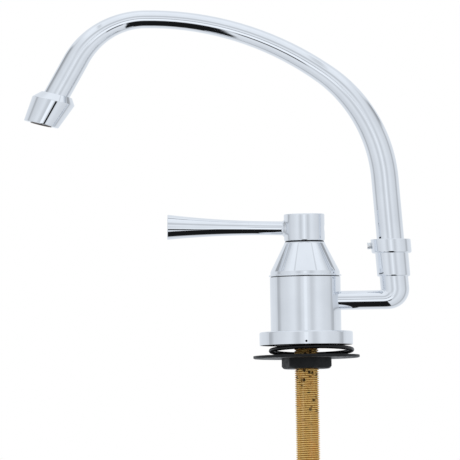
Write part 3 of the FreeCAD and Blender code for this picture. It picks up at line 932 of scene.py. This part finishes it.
def thread_faces(row_count, per_turn):
    """The faces between the rows, where the end of a row meets the start of the row one turn on."""
    faces = []
    last = thread_steps - 1
    for row in range(row_count - 1):
        for step in range(last):
            low_pair = (thread_point(row, step), thread_point(row, step + 1))
            high_pair = (thread_point(row + 1, step + 1), thread_point(row + 1, step))
            faces.append(low_pair + high_pair)
        next_turn = row + per_turn
        if next_turn + 1 < row_count:
            next_pair = (thread_point(next_turn, 0), thread_point(next_turn + 1, 0))
            faces.append((thread_point(row, last), *next_pair, thread_point(row + 1, last)))
    return faces


def shank_mesh():
    """A helical thread with a flat face at each end and a bore that is wider at the inlet."""
    profile = thread_profile()
    per_turn = len(profile)
    row_count = per_turn * thread_turns + 1
    points = thread_points(profile, row_count)
    faces = thread_faces(row_count, per_turn)
    rings = (
        (thread_root, shank_high),
        (shank_bore, shank_high),
        (shank_bore, shank_low + inlet_depth),
        (inlet_radius, shank_low + inlet_depth),
        (inlet_radius, shank_low),
        (thread_root, shank_low),
    )
    high = len(points)
    low = high + (len(rings) - 1) * thread_steps
    for radius, height in rings:
        points += [around(step / thread_steps, radius, height) for step in range(thread_steps)]
    for face in skin(len(rings), thread_steps, closed=False):
        faces.append(tuple(high + number for number in face))
    last = thread_steps - 1
    top_row = row_count - 1
    for step in range(last):
        low_edge = (thread_point(0, step + 1), thread_point(0, step))
        high_edge = (thread_point(top_row, step), thread_point(top_row, step + 1))
        faces.append((low + step, low + step + 1, *low_edge))
        faces.append((*high_edge, high + step + 1, high + step))
    low_step = [thread_point(row, 0) for row in range(per_turn + 1)]
    high_step = [thread_point(top_row - row, last) for row in range(per_turn + 1)]
    faces.append((low + last, low, *low_step, thread_point(0, last)))
    faces.append((thread_point(top_row, 0), high, high + last, *high_step))
    return new_mesh("shank", points, faces)


def ring_mesh():
    """A loose ring that leans from the washer behind up to the flange in front."""
    front_height = -ring_top_gap - ring_cord / 2
    back_height = washer_top + ring_rest_gap + ring_cord / 2
    lean = math.asin((front_height - back_height) / (2 * ring_radius))
    outline = []
    for step in range(ring_steps):
        angle = 2 * math.pi * step / ring_steps
        normal = Vector((math.cos(angle), math.sin(angle)))
        outline.append((Vector((ring_radius, 0)) + normal * ring_cord / 2, normal))
    place = Matrix.Translation((ring_shift, 0, (front_height + back_height) / 2))
    return turned("base_o_ring", outline, place @ Matrix.Rotation(-lean, 4, "X"))


def washer_mesh():
    """A flat washer with soft edges."""
    low = washer_top - washer_height
    corners = (
        (washer_bore, low, washer_edge),
        (washer_radius, low, washer_low_edge),
        (washer_radius, washer_top, washer_edge),
        (washer_bore, washer_top, washer_edge),
    )
    return turned("mounting_washer", rounded(corners), Matrix.Identity(4))


def soft_least(first, second):
    """The smaller of two lengths, with a soft change from one to the other."""
    parts = math.exp(-first / nut_softness) + math.exp(-second / nut_softness)
    return -nut_softness * math.log(parts)


def nut_reach(angle, rise):
    """How far the nut's side is from its axis in one direction, at a rise above its lower face."""
    side_angle = full_turn / nut_sides
    half_width = nut_across_flats / 2
    off_flat = (angle + nut_turn) % side_angle - side_angle / 2
    flat_reach = half_width / math.cos(math.radians(off_flat))
    corner_reach = half_width / math.cos(math.radians(side_angle / 2)) - 2 * nut_softness
    side = soft_least(flat_reach, corner_reach + min(0, rise - nut_chamfer))
    short = max(0, nut_edge - rise)
    return side - nut_edge + math.sqrt(nut_edge**2 - short**2)


def nut_mesh():
    """A hexagon with chamfered lower corners round a plain hole."""
    top = washer_top - washer_height
    low = top - nut_height
    level_count = math.ceil((nut_chamfer + nut_step) / nut_step)
    rises = [nut_step * number for number in range(level_count + 1)] + [nut_height]
    hole_ends = (top, low)
    shares = [step / nut_turn_count for step in range(nut_turn_count)]
    points = []
    for rise in rises:
        points += [around(share, nut_reach(full_turn * share, rise), low + rise) for share in shares]
    for height in hole_ends:
        points += [around(share, nut_bore, height) for share in shares]
    faces = skin(len(rises) + len(hole_ends), nut_turn_count, closed=True)
    return new_mesh("mounting_nut", points, faces)


def dress(node, mesh):
    """Shows a finer mesh in place of a CAD node, on the same body and in the same material."""
    piece = bpy.data.objects.new(f"fine_{node}", mesh)
    scene.collection.objects.link(piece)
    mesh.materials.append(materials[slots[node]])
    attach(piece, bodies[node])
    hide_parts(node)


make_camera()
make_world()
make_floor()

finishes = {
    "chrome_plate": chrome,
    "shank_brass": brass,
    "black_plastic": black_plastic,
    "black_rubber": black_rubber,
    "stainless_steel": stainless,
    "ceramic": ceramic,
    "white_nylon": white_nylon,
    "brown_plastic": brown_plastic,
}
materials = {slot: surface(slot, finish) for slot, finish in finishes.items()}
for name, node in frame["nodes"].items():
    node.data.materials.clear()
    node.data.materials.append(materials[slots[name]])

fine_meshes = {
    "bonnet": bonnet_mesh,
    "lever": lever_mesh,
    "elbow_arm": arm_mesh,
    "spout_tube": spout_mesh,
    "nozzle": nozzle_mesh,
    "shank": shank_mesh,
    "base_o_ring": ring_mesh,
    "mounting_washer": washer_mesh,
    "mounting_nut": nut_mesh,
}
for name, make_mesh in fine_meshes.items():
    dress(name, make_mesh())

scene.view_settings.view_transform = "Standard"
